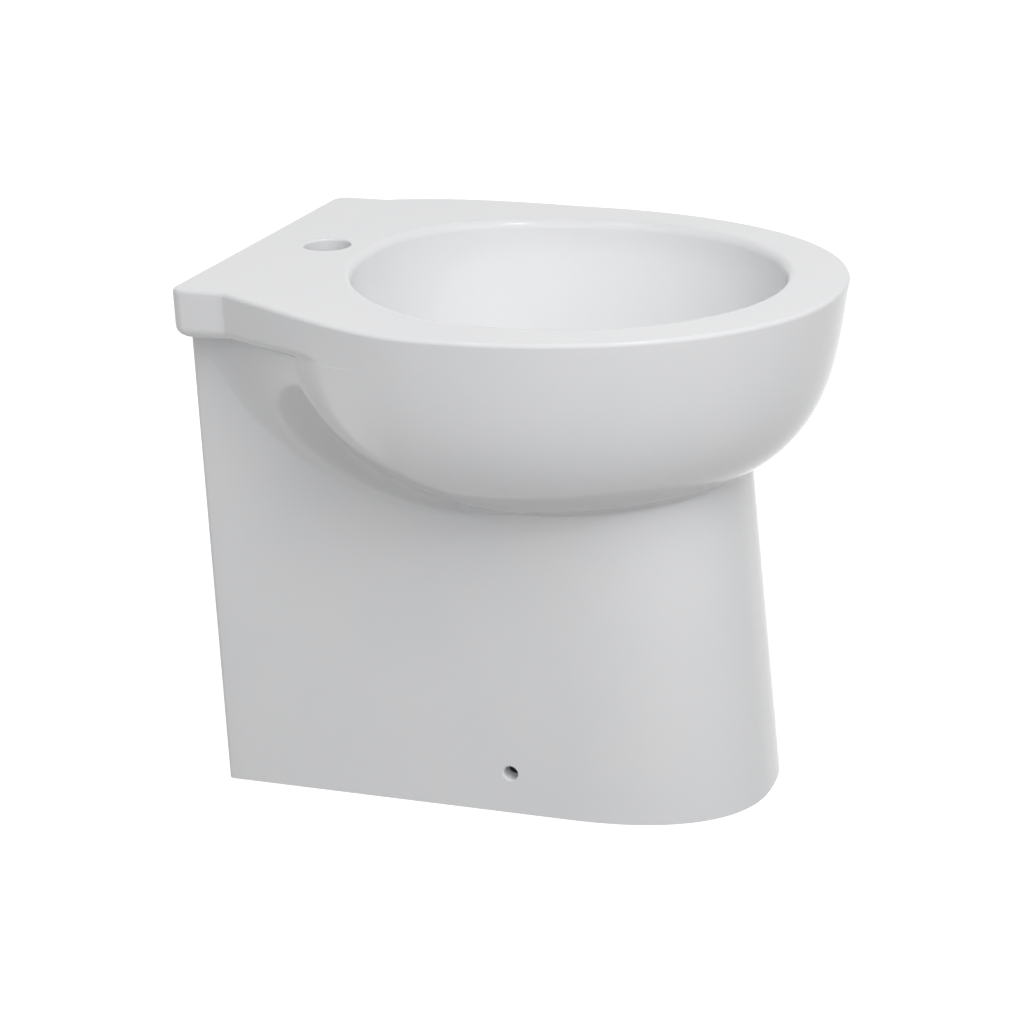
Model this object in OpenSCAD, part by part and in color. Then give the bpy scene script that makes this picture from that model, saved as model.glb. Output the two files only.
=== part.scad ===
// Floor-standing back-to-wall bidet: ceramic pan, click-clack waste, bottle trap, floor brackets.
// Millimetres. +Z up, the front of the pan towards -Y, its wall plane at the greatest Y,
// the origin on the floor under the middle of the bounding box.

/* [Rim and tap deck] */
// Height of the tap deck above the floor
deck_h = 400; // [390:1:410]
// How much lower the rim lies than the tap deck
rim_fall = 7.4; // [5:0.2:9]
// Greatest width of the rim
rim_w = 375; // [365:1:385]
// Depth from the wall plane to the front tip
body_l = 450; // [440:1:460]
// Distance of the drain and of the widest point from the wall plane
drain_back = 205; // [200:1:210]
// Width of the tap deck at the wall
deck_w = 285; // [280:1:290]
// Length of the straight side of the tap deck
deck_side = 42; // [36:1:48]
// Radius of the deck's upright back corners
deck_corner_r = 10; // [10:1:16]
// Height of the deck's underside above the floor
apron_z = 365; // [360:1:368]
// Rounding under the deck's lower edge
lip_r = 8; // [7:1:11]
// Rounding along the rim's outer top edge at the waist
edge_r_side = 8; // [6:0.5:10]
// Rounding along the rim's outer top edge at the front
edge_r_front = 7; // [6:0.5:9]
// Rounding along the top edge at the wall
edge_r_back = 3.5; // [3:0.5:6]
// Thickness of the ceramic in the tap deck
deck_t = 22; // [20:1:24]

/* [Bowl] */
// Width of the bowl's opening where the rim starts to roll in
mouth_w = 292; // [284:1:296]
// Length of the bowl's opening
mouth_l = 322; // [316:1:326]
// Distance from the wall plane to the back of the opening
mouth_back = 86; // [84:1:90]
// Radius of the roll from the rim into the bowl
roll_r = 7; // [5:0.5:9]
// Height of the bowl's floor above the ground
bowl_z = 250; // [247:1:255]
// Thickness of the bowl's wall
bowl_t = 12; // [10:1:13]

/* [Belly and foot] */
// Depth below the rim at which the belly would close
belly_h = 155; // [153:0.5:158]
// Depth of the belly's lower edge below the rim, beside the foot
belly_edge = 136.5; // [135:0.5:138]
// Distance from the wall plane to where that lower edge is lowest
belly_low_back = 255; // [250:1:262]
// Distance from the wall plane to the belly's rear edge under the deck
flank_back = 115; // [112:1:118]
// Rounding along the belly's rear edge
flank_r = 10; // [6:1:12]
// Width of the cove between the belly's rear edge and the foot's side
cove_w = 104; // [98:1:108]
// Height of the cove under the belly's lower edge
cove_h = 22; // [18:1:24]
// Hollowness of the cove: 1 would be a straight slope down to the foot
cove_n = 1.5; // [1.3:0.1:2.5]
// Width of the foot at the wall
foot_w = 232; // [226:1:238]
// How much each side of the foot draws in over the whole depth
foot_draw = 26; // [22:1:28]
// Distance from the wall plane to the foot's front at the floor
foot_l = 405.5; // [396:0.5:410]
// How far the foot's front leans back up to the belly
foot_lean = 25.5; // [18:0.5:26]
// Radius of the foot's upright back corners
foot_corner_r = 4; // [2:1:6]
// Thickness of the foot's wall
foot_t = 12; // [10:1:13]

/* [Holes] */
// Diameter of the tap hole
tap_hole_d = 35; // [32:0.5:37]
// Distance of the tap hole from the wall plane
tap_back = 57.5; // [54:0.5:60]
// Diameter of the drain hole through the ceramic
drain_d = 45; // [44:0.5:48]
// Diameter of the side fixing holes
fix_hole_d = 11; // [10:0.5:12]
// Height of the side fixing holes above the floor
fix_hole_z = 33; // [30:1:38]
// Distance of the side fixing holes from the wall plane
fix_hole_back = 230; // [222:1:238]

/* [Waste] */
// Diameter of the waste's flange
flange_d = 64; // [62:1:66]
// Thickness of the waste's flange
flange_t = 2.5; // [2:0.5:3.5]
// Outside diameter of the waste's threaded tube
tube_d = 41.5; // [41:0.1:41.9]
// Bore of the waste's tube
tube_bore = 36; // [34:0.5:37]
// Length of the waste below its flange
tube_l = 82; // [78:1:86]
// Thickness of the seal under the flange
seal_t = 2; // [1.5:0.5:3]
// Height of the tapered rubber washer under the bowl
cone_h = 10; // [8:1:12]
// Thickness of the slip washer
slip_t = 2; // [1.5:0.5:3]
// Height of the back nut
back_nut_h = 12; // [10:1:14]
// Outside diameter of the back nut
back_nut_d = 58; // [56:1:60]
// Diameter of the plug's cap
plug_d = 52; // [48:1:56]
// Height of the plug's cap
plug_h = 5.5; // [5:0.5:8]
// Diameter of the plug's stem
stem_d = 8; // [7:0.5:9]
// How far the plug lifts when it clicks open
plug_lift = 8; // [6:1:10]

/* [Trap and outlet] */
// Outside diameter of the trap's pipes
pipe_d = 32; // [31:0.5:32]
// Wall of the trap's pipes
pipe_t = 2; // [1.6:0.2:2.4]
// Outside diameter of the trap's bottle
bottle_d = 64; // [60:1:68]
// Wall of the bottle and of its cup
bottle_t = 3; // [2.5:0.5:3.5]
// Height of the bottle's closed top above the floor
bottle_top = 131; // [129:1:134]
// Height of the bottle's lower edge above the floor
bottle_z = 62; // [60:1:66]
// Height of the cup's floor above the ground
cup_z = 25; // [20:1:30]
// Height of the dip tube's open end above the floor
dip_z = 42; // [38:1:46]
// Height of the outlet's axis above the floor
outlet_z = 106; // [104:1:107]
// Length of the outlet stub beyond the bottle
stub_l = 26; // [24:1:30]
// Height of the nut under the waste
trap_nut_h = 24; // [22:1:26]
// Height of the nut on the bottle's neck
neck_nut_h = 18; // [16:1:19]
// Length of the nut on the outlet stub
outlet_nut_h = 20; // [18:1:22]
// Gap between the outlet pipe's end and the wall plane
outlet_short = 3; // [2:1:10]

/* [Floor brackets] */
// Width of a bracket along the wall of the foot
bracket_w = 30; // [26:1:36]
// Height of a bracket
bracket_h = 48; // [46:1:56]
// Thickness of a bracket
bracket_t = 6; // [5:0.5:7]
// Reach of a bracket's foot plate towards the middle
bracket_reach = 50; // [46:1:56]
// Diameter of the screw hole in a foot plate
floor_hole_d = 8.5; // [7:0.5:10]
// Distance of that hole from the plate's inner end
floor_hole_in = 14; // [10:1:18]

/* [Clearances] */
// Radial clearance of threads and plain fits that don't move
fit_gap = 0.2; // [0.1:0.05:0.3]
// Radial clearance of the plug's stem in its guide
stem_gap = 0.05; // [0.03:0.01:0.08]
// Gap between the plug's seal and the flange when closed
seat_gap = 0.2; // [0.1:0.05:0.3]

/* [Hidden] */
$fn = 96;
yb = body_l / 2;
cy = yb - drain_back;
ye = yb - deck_side;
rim_z = deck_h - rim_fall;
foot_y = yb - foot_l;
foot_round_y = yb - 270;
foot_top_z = 260;
flank_y = yb - flank_back;
low_y = yb - belly_low_back;
flank_l = flank_y - low_y;
belly_z = rim_z - belly_edge;
flank_h = apron_z - belly_z;
mouth_y = yb - mouth_back - mouth_l / 2;
drain_floor_r = flange_d / 2 + 4;
recess_d = flange_d + 4;
recess_h = flange_t + seal_t;
flange_z = bowl_z - flange_t;
boss_z = bowl_z - recess_h - 20;
boss_d = recess_d + 12;
tail_z = flange_z - tube_l;
cone_z = boss_z - cone_h;
slip_z = cone_z - slip_t;
back_nut_z = slip_z - back_nut_h;
tube_r = tube_d / 2;
hub_r = 10;
hub_h = 12;
hub_z = tail_z + 34;
cart_r = 7;
cart_top = hub_z + hub_h + 13;
seal_h = 1.8;
cap_z = bowl_z + seat_gap + seal_h;
pipe_r = pipe_d / 2;
ring_t = 2.5;
lip_t = 3;
grip = 5;
neck_h = 14;
stub_end = cy + bottle_d / 2 + stub_l;
socket_l = 18;
skirt_h = 14;
bracket_y = yb - fix_hole_back;
rib_t = 3;
rib_l = 16;
rib_drop = 8;
pilot_d = 4;
bracket_side = foot_w / 2 - foot_draw * (fix_hole_back + bracket_w / 2) / body_l - foot_t - 0.1;

function clip01(v) = min(1, max(0, v));

// How far the top lies below the tap deck at a distance from the front
function fall(y) = let (k = clip01((yb - 40 - y) / 170)) rim_fall * k * k * (3 - 2 * k);

// Half width of a superellipse with exponent n at the share f of its half length
function oval(f, n) = pow(max(0, 1 - pow(clip01(f), n)), 1 / n);

// Half width of the rim and tap deck
function rim_x(y) =
    y > yb - deck_corner_r ?
        deck_w / 2 - deck_corner_r
        + sqrt(max(0, pow(deck_corner_r, 2) - pow(y - yb + deck_corner_r, 2))) :
    y > ye ? deck_w / 2 :
    y > cy ? deck_w / 2 + (rim_w - deck_w) / 2 * sin(90 * (ye - y) / (ye - cy)) :
    rim_w / 2 * oval((cy - y) / (yb + cy), 2.1);

// Half width of the foot at a height, with its wall taken off by t
function foot_x(y, z, t) =
    let (front = foot_y + foot_lean * clip01(z / foot_top_z) + t)
    let (side = foot_w / 2 - foot_draw * (yb - y) / body_l - t)
    let (c = t > 0 ? 0 : max(0, y - yb + foot_corner_r))
    let (cut = foot_corner_r - sqrt(max(0, pow(foot_corner_r, 2) - c * c)))
    y > foot_round_y ? side - cut : side * oval((foot_round_y - y) / (foot_round_y - front), 2.45);

// Size of the belly at a height, as a share of the rim
belly_n = 3.85;
function belly_s(z) =
    let (h = clip01((rim_z - z) / belly_h))
    (1 - 0.08 * h) * pow(max(0, 1 - pow(h, belly_n)), 1 / belly_n);

// Half width of the belly at a height, as long as it has no rear edge
function belly_x(y, z) =
    let (s = belly_s(z))
    let (k = clip01((flank_y + 14 - y) / 80))
    s < 0.02 ? 0 :
    y < cy ? rim_w / 2 * s * oval((cy - y) / ((yb + cy) * s), 2.1) :
    rim_x(y) * (1 - (1 - s) * k * k * (3 - 2 * k));

// Distance from the middle of the belly's side, where 1 is its rear and lower edge
flank_n = 1.6;
function flank_q(y, z) = pow(pow(max(0, y - low_y) / flank_l, flank_n)
    + pow(max(0, apron_z - z) / flank_h, flank_n), 1 / flank_n);

// The same distance where the cove outside that edge ends on the foot
function cove_q(c) = 1 + cove_h / flank_h
    + (cove_w / flank_l - cove_h / flank_h) * c * c * (3 - 2 * c);

// Half width of belly, cove and foot at a height, beside and behind the belly's lowest point
function flank_x(y, z) =
    let (q = max(0.2, flank_q(y, z)))
    let (c = min(1, max(0, y - low_y) / flank_l / q))
    let (ey = low_y + flank_l * c)
    let (ez = apron_z - flank_h * oval(c, flank_n))
    let (edge = belly_x(ey, ez) - foot_x(ey, ez, 0))
    let (u = (q - 1) / (cove_q(c) - 1))
    let (cove = foot_x(y, z, 0) + edge * pow(max(0, 1 - u), cove_n))
    let (side = q < 1 ? belly_x(y, z) : belly_x(ey, ez))
    let (h = max(0, flank_r - abs(side - cove)) / flank_r)
    y > flank_y + cove_w ? foot_x(y, z, 0) :
    max(foot_x(y, z, 0), min(side, cove) - h * h * flank_r / 4);

// Half width of the bowl's opening
function mouth_x(y) = mouth_w / 2 * oval(abs(y - mouth_y) / (mouth_l / 2), y < mouth_y ? 2 : 2.4);

// Which outline is meant: 0 rim, 1 foot, 2 belly, 3 opening, 4 hollow of the foot, 5 flank
function half_x(k, y, z) =
    k == 0 ? rim_x(y) : k == 1 ? foot_x(y, z, 0) : k == 2 ? belly_x(y, z) :
    k == 3 ? mouth_x(y) : k == 4 ? foot_x(y, z, foot_t) : flank_x(y, z);

function inside(k, m, a, z) =
    let (x = m * sin(a))
    let (y = cy + m * cos(a))
    let (w = half_x(k, y, z))
    y <= (k == 4 ? yb + 2 : yb) && w > 0.01 && x <= w;

// Distance from the drain's axis to an outline in direction a, by halving
function reach(k, a, z, lo = 0, hi = 420, n = 16) =
    n == 0 ? lo :
    let (m = (lo + hi) / 2)
    inside(k, m, a, z) ? reach(k, a, z, m, hi, n - 1) : reach(k, a, z, lo, m, n - 1);

// The larger of two lengths, rounded off where they are closer than k
function blend_max(p, q, k) =
    let (h = max(0, k - abs(p - q)) / k)
    max(p, q) + h * h * k / 4;

// Half width of the foot's hollow where it meets the wall plane, as seen from the drain
hollow_x = (foot_w / 2 - foot_t) * drain_back / (drain_back + 2);

// Points on one half of the rim, from the middle of the back round to the front tip
half_rim = concat(
    [for (i = [0:4]) [hollow_x * i / 4, yb]],
    [[(hollow_x + foot_w / 2) / 2, yb], [foot_w / 2 - foot_corner_r / 2, yb], [foot_w / 2 + 2, yb]],
    [for (i = [0:3]) let (t = 90 * i / 4)
        [deck_w / 2 - deck_corner_r + deck_corner_r * sin(t),
            yb - deck_corner_r + deck_corner_r * cos(t)]],
    [for (i = [0:1]) [deck_w / 2, yb - deck_corner_r - (deck_side - deck_corner_r) * i / 2]],
    [for (i = [0:5]) let (y = ye + (flank_y - ye) * i / 6) [rim_x(y), y]],
    [for (t = [0:10:60]) let (y = low_y + flank_l * cos(t)) [rim_x(y), y]],
    [for (i = [0:13]) let (t = 90 * i / 14)
        [rim_w / 2 * pow(cos(t), 2 / 2.1), cy - (yb + cy) * pow(sin(t), 2 / 2.1)]],
    [[0, -yb]]);
half_a = [for (p = half_rim) atan2(p.x, p.y - cy)];
half_y = [for (p = half_rim) p.y];
n_half = len(half_a);

// A ring of points round the drain's axis from one half's radii and heights
function ring(r, z) = concat(
    [for (i = [0:n_half - 1]) [r[i] * sin(half_a[i]), cy + r[i] * cos(half_a[i]), z[i]]],
    [for (i = [n_half - 2:-1:1]) [-r[i] * sin(half_a[i]), cy + r[i] * cos(half_a[i]), z[i]]]);
function flat(z) = [for (i = [0:n_half - 1]) z];

// A closed skin over rings of equal counts, from the top ring down, with flat ends
module skin(rings) {
    n = len(rings[0]);
    m = len(rings);
    polyhedron(points = [for (r = rings) each r], faces = concat(
        [[for (j = [0:n - 1]) j]],
        [for (i = [0:m - 2]) for (j = [0:n - 1])
            let (a = i * n + j, b = i * n + (j + 1) % n) each [[a, a + n, b + n], [a, b + n, b]]],
        [[for (j = [n - 1:-1:0]) (m - 1) * n + j]]));
}

rim_r = [for (a = half_a) reach(0, a, 0)];
mouth_r = [for (a = half_a) reach(3, a, 0)];
edge_r = [for (y = half_y) lookup(y, [[-yb, edge_r_front], [0, edge_r_side],
    [ye, edge_r_side], [yb, edge_r_back]])];
top_z = [for (y = half_y) deck_h - fall(y)];
// Rounding in the crease between belly and foot, in front
blend_k = [for (y = half_y) lookup(y, [[-yb, 8], [-60, 24], [20, 28]])];
// Share by which each direction follows the flank instead of that crease
flank_k = [for (y = half_y) let (k = clip01((y + 60) / 80)) k * k * (3 - 2 * k)];
// Share by which each direction leans in with the belly instead of standing upright
lean_k = [for (y = half_y) let (k = clip01((flank_y + 14 - y) / 80)) k * k * (3 - 2 * k)];
wall_z = apron_z + lip_r;
all_i = [0:n_half - 1];

// Radius of the rim's wall at a height
function wall_r(i, z) = rim_r[i] * (1 - (1 - belly_s(z)) * lean_k[i]);

// Radius of belly and foot together at a height
function low_r(i, z) =
    let (k = flank_k[i])
    let (b = k < 1 ? blend_max(reach(2, half_a[i], z), reach(1, half_a[i], z), blend_k[i]) : 0)
    let (f = k > 0 ? reach(5, half_a[i], z) : 0)
    k * f + (1 - k) * b;

// Radius of the rounding under the apron
function lip_in(z) = let (d = clip01((wall_z - z) / lip_r)) lip_r * (1 - sqrt(1 - d * d));
function under_r(i, z) =
    min(wall_r(i, z), blend_max(wall_r(i, z) - lip_in(z), low_r(i, z), 3));

// Height at which the belly draws in behind the foot, by halving
function crease_z(a, lo, hi, n = 12) =
    n == 0 ? hi :
    let (m = (lo + hi) / 2)
    reach(2, a, m) > reach(1, a, m) ? crease_z(a, lo, m, n - 1) : crease_z(a, m, hi, n - 1);

// Height at which outline k crosses the line that lies as far out as q says, by halving
function line_z(k, a, q, lo, hi, n = 12) =
    n == 0 ? hi :
    let (m = (lo + hi) / 2)
    let (y = cy + reach(k, a, m) * cos(a))
    let (far = q > 0 ? q : cove_q(min(1, max(0, y - low_y) / flank_l / flank_q(y, m))))
    flank_q(y, m) > far ? line_z(k, a, q, m, hi, n - 1) : line_z(k, a, q, lo, m, n - 1);

// Height where the roll into the bowl ends, and the bowl's wall with t added to its thickness
function roll_z(i) = deck_h - fall(cy + mouth_r[i] * cos(half_a[i])) - roll_r;
bowl_n = 1.65;
function bowl_r(i, f, t) = drain_floor_r
    + (mouth_r[i] - roll_r + t - drain_floor_r) * oval(f, bowl_n);
function bowl_h(i, f, t) = roll_z(i) - (roll_z(i) - bowl_z + t) * f;

module pan_outside() {
    bowl = [for (f = [1, 0.97, 0.9, 0.78, 0.62, 0.44, 0.22, 0])
        ring([for (i = all_i) bowl_r(i, f, 0)], [for (i = all_i) bowl_h(i, f, 0)])];
    roll = [for (p = [30, 60, 90])
        ring([for (i = all_i) mouth_r[i] - roll_r * cos(p)],
            [for (i = all_i) roll_z(i) + roll_r * sin(p)])];
    mid_r = [for (i = all_i) (mouth_r[i] + rim_r[i] - edge_r[i]) / 2];
    top = [ring(mid_r, [for (i = all_i) deck_h - fall(cy + mid_r[i] * cos(half_a[i]))])];
    edge = [for (p = [90, 67.5, 45, 22.5, 0])
        ring([for (i = all_i) rim_r[i] - edge_r[i] * (1 - cos(p))],
            [for (i = all_i) top_z[i] - edge_r[i] * (1 - sin(p))])];
    lip = [for (k = [0, 0.5, 0.8, 1]) let (z = wall_z - lip_r * k)
        ring([for (i = all_i) under_r(i, z)], flat(z))];
    crease = [for (a = half_a) crease_z(a, belly_z - 30, belly_z + 40)];
    edge_z = [for (i = all_i) flank_k[i] * line_z(2, half_a[i], 1, belly_z - 5, apron_z - 12)
        + (1 - flank_k[i]) * (crease[i] + 10)];
    cove_z = [for (i = all_i) flank_k[i] * line_z(1, half_a[i], 0, belly_z - cove_h - 5, apron_z - 24)
        + (1 - flank_k[i]) * (crease[i] - 12)];
    belly = [for (k = [0.998, 0.86, 0.7, 0.54, 0.4, 0.27, 0.16, 0.07])
        ring([for (i = all_i) low_r(i, edge_z[i] + (apron_z - edge_z[i]) * k)],
            [for (i = all_i) edge_z[i] + (apron_z - edge_z[i]) * k])];
    cove = [for (k = [1, 0.9, 0.78, 0.65, 0.5, 0.35, 0.18, 0])
        ring([for (i = all_i) low_r(i, cove_z[i] + (edge_z[i] - cove_z[i]) * k)],
            [for (i = all_i) cove_z[i] + (edge_z[i] - cove_z[i]) * k])];
    foot = [for (k = [0.5, 0]) ring([for (i = all_i) reach(1, half_a[i], cove_z[i] * k)],
        [for (i = all_i) cove_z[i] * k])];
    skin(concat(bowl, roll, top, edge, lip, belly, cove, foot));
}

// Radius of the hollow in the foot and belly at a height
function hollow_r(i, z) =
    let (f = reach(4, half_a[i], z))
    let (b = min(low_r(i, z), low_r(i, z - foot_t), wall_r(i, z)) - foot_t)
    blend_max(f, b, 4);

// Share of the bowl's depth at which its underside meets the hollow's wall or the deck's ceiling
function meet_f(i, lo, hi, n = 14) =
    n == 0 ? hi :
    let (m = (lo + hi) / 2)
    bowl_r(i, m, bowl_t) < hollow_r(i, bowl_h(i, m, bowl_t)) - 3 ?
        meet_f(i, lo, m, n - 1) : meet_f(i, m, hi, n - 1);

module pan_hollow() {
    c = (deck_t - roll_r) / (rim_z - roll_r - bowl_z + bowl_t);
    f = [for (i = all_i) meet_f(i, c, 1)];
    z = [for (i = all_i) bowl_h(i, f[i], bowl_t)];
    under = [for (k = [0, 0.03, 0.1, 0.22, 0.4, 0.65, 1])
        ring([for (i = all_i) bowl_r(i, 1 - (1 - f[i]) * k, bowl_t)],
            [for (i = all_i) bowl_h(i, 1 - (1 - f[i]) * k, bowl_t)])];
    side = [for (k = [0, 0.12, 0.24, 0.36, 0.5, 1])
        ring([for (i = all_i) hollow_r(i, z[i] * (1 - k))],
            [for (i = all_i) z[i] * (1 - k) - 2 * k])];
    skin(concat(under, side));
}

module on_drain(z) {
    translate([0, cy, z]) children();
}

module ceramic_body() {
    color("white") difference() {
        union() {
            difference() {
                pan_outside();
                pan_hollow();
            }
            on_drain(boss_z) cylinder(d = boss_d, h = bowl_z - boss_z - 6);
        }
        on_drain(bowl_z - recess_h) cylinder(d = recess_d, h = recess_h + 1);
        on_drain(boss_z - 1) cylinder(d = drain_d, h = bowl_z - boss_z + 2);
        translate([0, yb - tap_back, deck_h - deck_t - 12]) cylinder(d = tap_hole_d, h = deck_t + 14);
        for (s = [-1, 1])
            translate([s * (foot_w / 2 - 40), bracket_y, fix_hole_z]) rotate([0, s * 90, 0])
                cylinder(d = fix_hole_d, h = 50);
    }
}

// A ring standing on z = 0
module collar(r, bore, h) {
    rotate_extrude() translate([bore, 0]) square([r - bore, h]);
}

// A union nut standing on its inner lip: bored for the pipe below and for the thread above
module union_nut(r_thread, h) {
    difference() {
        union() {
            cylinder(r = r_thread + grip - 1, h = h);
            for (a = [0:30:330]) rotate(a) translate([r_thread, -2.5, 0]) cube([grip, 5, h - 2]);
        }
        translate([0, 0, -1]) cylinder(r = pipe_r + fit_gap, h = h + 2);
        translate([0, 0, lip_t]) cylinder(r = r_thread + fit_gap, h = h);
    }
}

module flange_seal() {
    color("dimgray") on_drain(bowl_z - recess_h) collar(flange_d / 2, tube_r + fit_gap, seal_t);
}

module waste_body() {
    color("silver") on_drain(0) difference() {
        union() {
            translate([0, 0, flange_z]) cylinder(d = flange_d, h = flange_t);
            translate([0, 0, tail_z]) cylinder(r = tube_r, h = tube_l);
        }
        difference() {
            translate([0, 0, tail_z - 1]) cylinder(d = tube_bore, h = tube_l + flange_t + 2);
            translate([0, 0, hub_z]) {
                cylinder(r = hub_r, h = hub_h);
                for (a = [90:120:330]) rotate(a) translate([0, -2.5, 0]) cube([tube_r, 5, hub_h]);
            }
        }
        translate([0, 0, hub_z - 1]) cylinder(r = cart_r + fit_gap, h = hub_h + 2);
    }
}

module cone_washer() {
    color("dimgray") on_drain(cone_z) rotate_extrude() polygon([
        [tube_r + fit_gap, 0], [back_nut_d / 2, 0], [back_nut_d / 2, cone_h],
        [drain_d / 2 - 0.3, cone_h], [drain_d / 2 - 0.6, cone_h + 3],
        [tube_r + fit_gap, cone_h + 3]]);
}

module slip_washer() {
    color("white") on_drain(slip_z) collar(back_nut_d / 2, tube_r + fit_gap, slip_t);
}

module back_nut() {
    color("silver") on_drain(back_nut_z) difference() {
        cylinder(r = back_nut_d / 2 / cos(30), h = back_nut_h, $fn = 6);
        translate([0, 0, -1]) cylinder(r = tube_r + fit_gap, h = back_nut_h + 2);
    }
}

module click_cartridge() {
    color("gainsboro") on_drain(0) difference() {
        union() {
            translate([0, 0, hub_z - 6]) cylinder(r = cart_r, h = cart_top - hub_z + 6);
            translate([0, 0, hub_z + hub_h]) cylinder(r = cart_r + 2, h = 3);
        }
        translate([0, 0, hub_z - 2]) cylinder(r = stem_d / 2 + stem_gap, h = 60);
    }
}

module plug_cap() {
    color("silver") on_drain(cap_z) rotate_extrude() polygon(concat(
        [[0, 0], [plug_d / 2 - 1, 0]],
        [for (t = [0:12:84]) [plug_d / 2 * cos(t), 1 + (plug_h - 1) * sin(t)]],
        [[0, plug_h]]));
}

module plug_seal() {
    color("dimgray") on_drain(cap_z - seal_h) collar(plug_d / 2 - 1.5, tube_bore / 2 + 1, seal_h);
}

module plug_stem() {
    color("silver") on_drain(hub_z) cylinder(d = stem_d, h = cap_z - hub_z);
}

module trap_nut() {
    color("white") on_drain(tail_z - 2 * ring_t - lip_t) union_nut(tube_r, trap_nut_h);
}

module trap_washer() {
    color("dimgray") on_drain(tail_z - ring_t) collar(tube_r - 0.3, tube_bore / 2 - 1, ring_t);
}

module dip_tube() {
    color("white") on_drain(0) {
        difference() {
            union() {
                translate([0, 0, tail_z - 2 * ring_t]) cylinder(r = tube_r - 0.3, h = ring_t);
                translate([0, 0, dip_z]) cylinder(r = pipe_r, h = tail_z - ring_t - dip_z);
            }
            translate([0, 0, dip_z - 1]) cylinder(r = pipe_r - pipe_t, h = tail_z);
        }
    }
}

module neck_washer() {
    color("dimgray") on_drain(bottle_top + neck_h) collar(pipe_r + 3, pipe_r + fit_gap, ring_t);
}

module neck_nut() {
    color("white") on_drain(bottle_top + neck_h + ring_t + lip_t) mirror([0, 0, 1])
        union_nut(pipe_r + 3, neck_nut_h);
}

module trap_bottle() {
    color("white") difference() {
        union() {
            on_drain(bottle_z + skirt_h) cylinder(d = bottle_d, h = bottle_top - bottle_z - skirt_h);
            on_drain(bottle_z) cylinder(r = bottle_d / 2 - 2, h = skirt_h + 1);
            on_drain(bottle_top - 1) cylinder(r = pipe_r + 3, h = neck_h + 1);
            on_drain(outlet_z) rotate([-90, 0, 0]) cylinder(r = pipe_r + 3, h = stub_end - cy);
        }
        on_drain(bottle_z - 1) cylinder(r = bottle_d / 2 - 2 - bottle_t, h = skirt_h + 1);
        on_drain(bottle_z) cylinder(r = bottle_d / 2 - 2 - bottle_t, h = bottle_top - bottle_z - bottle_t);
        on_drain(bottle_z) cylinder(r = pipe_r + fit_gap, h = bottle_top);
        on_drain(outlet_z) rotate([-90, 0, 0]) cylinder(r = pipe_r - pipe_t, h = stub_end);
        translate([0, stub_end - socket_l, outlet_z]) rotate([-90, 0, 0])
            cylinder(r = pipe_r + fit_gap, h = socket_l + 1);
    }
}

module trap_cup() {
    color("white") on_drain(0) difference() {
        union() {
            translate([0, 0, cup_z]) cylinder(r = bottle_d / 2 - 2, h = bottle_z - cup_z);
            translate([0, 0, bottle_z - 6]) cylinder(r = bottle_d / 2 + 1, h = skirt_h + 6 - fit_gap);
            for (a = [0:30:330]) rotate(a)
                translate([bottle_d / 2 - 1, -2.5, bottle_z - 5]) cube([grip - 1.5, 5, skirt_h + 2]);
        }
        translate([0, 0, cup_z + bottle_t])
            cylinder(r = bottle_d / 2 - 2 - bottle_t, h = bottle_z);
        translate([0, 0, bottle_z - 2]) cylinder(r = bottle_d / 2 - 2 + fit_gap, h = skirt_h + 9);
    }
}

module cup_seal() {
    color("dimgray") on_drain(bottle_z - 2) collar(bottle_d / 2 - 2, bottle_d / 2 - 2 - bottle_t, 2);
}

module on_outlet(y) {
    translate([0, y, outlet_z]) rotate([-90, 0, 0]) children();
}

module outlet_nut() {
    color("white") on_outlet(stub_end + ring_t + lip_t) mirror([0, 0, 1])
        union_nut(pipe_r + 3, outlet_nut_h);
}

module outlet_washer() {
    color("dimgray") on_outlet(stub_end) collar(pipe_r + 3, pipe_r + fit_gap, ring_t);
}

module outlet_pipe() {
    color("white") on_outlet(stub_end - socket_l + 1) difference() {
        cylinder(r = pipe_r, h = yb - outlet_short - stub_end + socket_l - 1);
        translate([0, 0, -1]) cylinder(r = pipe_r - pipe_t, h = body_l);
    }
}

// The right-hand bracket: its upright stands inside the foot's wall, behind the side hole
module bracket() {
    translate([bracket_side, bracket_y, 0]) difference() {
        union() {
            translate([-bracket_t, -bracket_w / 2, 0]) cube([bracket_t, bracket_w, bracket_h]);
            translate([-bracket_reach, -bracket_w / 2, 0]) cube([bracket_reach, bracket_w, bracket_t]);
            for (y = [rib_t - bracket_w / 2, bracket_w / 2]) translate([0, y, 0]) rotate([90, 0, 0])
                linear_extrude(rib_t) polygon([[-bracket_t, bracket_t],
                    [-bracket_t, bracket_h - rib_drop], [-bracket_t - rib_l, bracket_t]]);
        }
        translate([-bracket_t - 1, 0, fix_hole_z]) rotate([0, 90, 0]) cylinder(d = pilot_d, h = 40);
        translate([floor_hole_in - bracket_reach, 0, -1]) cylinder(d = floor_hole_d, h = bracket_t + 2);
    }
}

module bracket_right() {
    color("white") bracket();
}

module bracket_left() {
    color("white") mirror([1, 0, 0]) bracket();
}

ceramic_body();
flange_seal();
waste_body();
cone_washer();
slip_washer();
back_nut();
click_cartridge();
plug_cap();
plug_seal();
plug_stem();
trap_nut();
trap_washer();
dip_tube();
neck_nut();
neck_washer();
trap_bottle();
trap_cup();
cup_seal();
outlet_nut();
outlet_washer();
outlet_pipe();
bracket_left();
bracket_right();
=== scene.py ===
import bpy
import bmesh
import math
import numpy as np
from mathutils import Matrix, Vector


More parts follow.
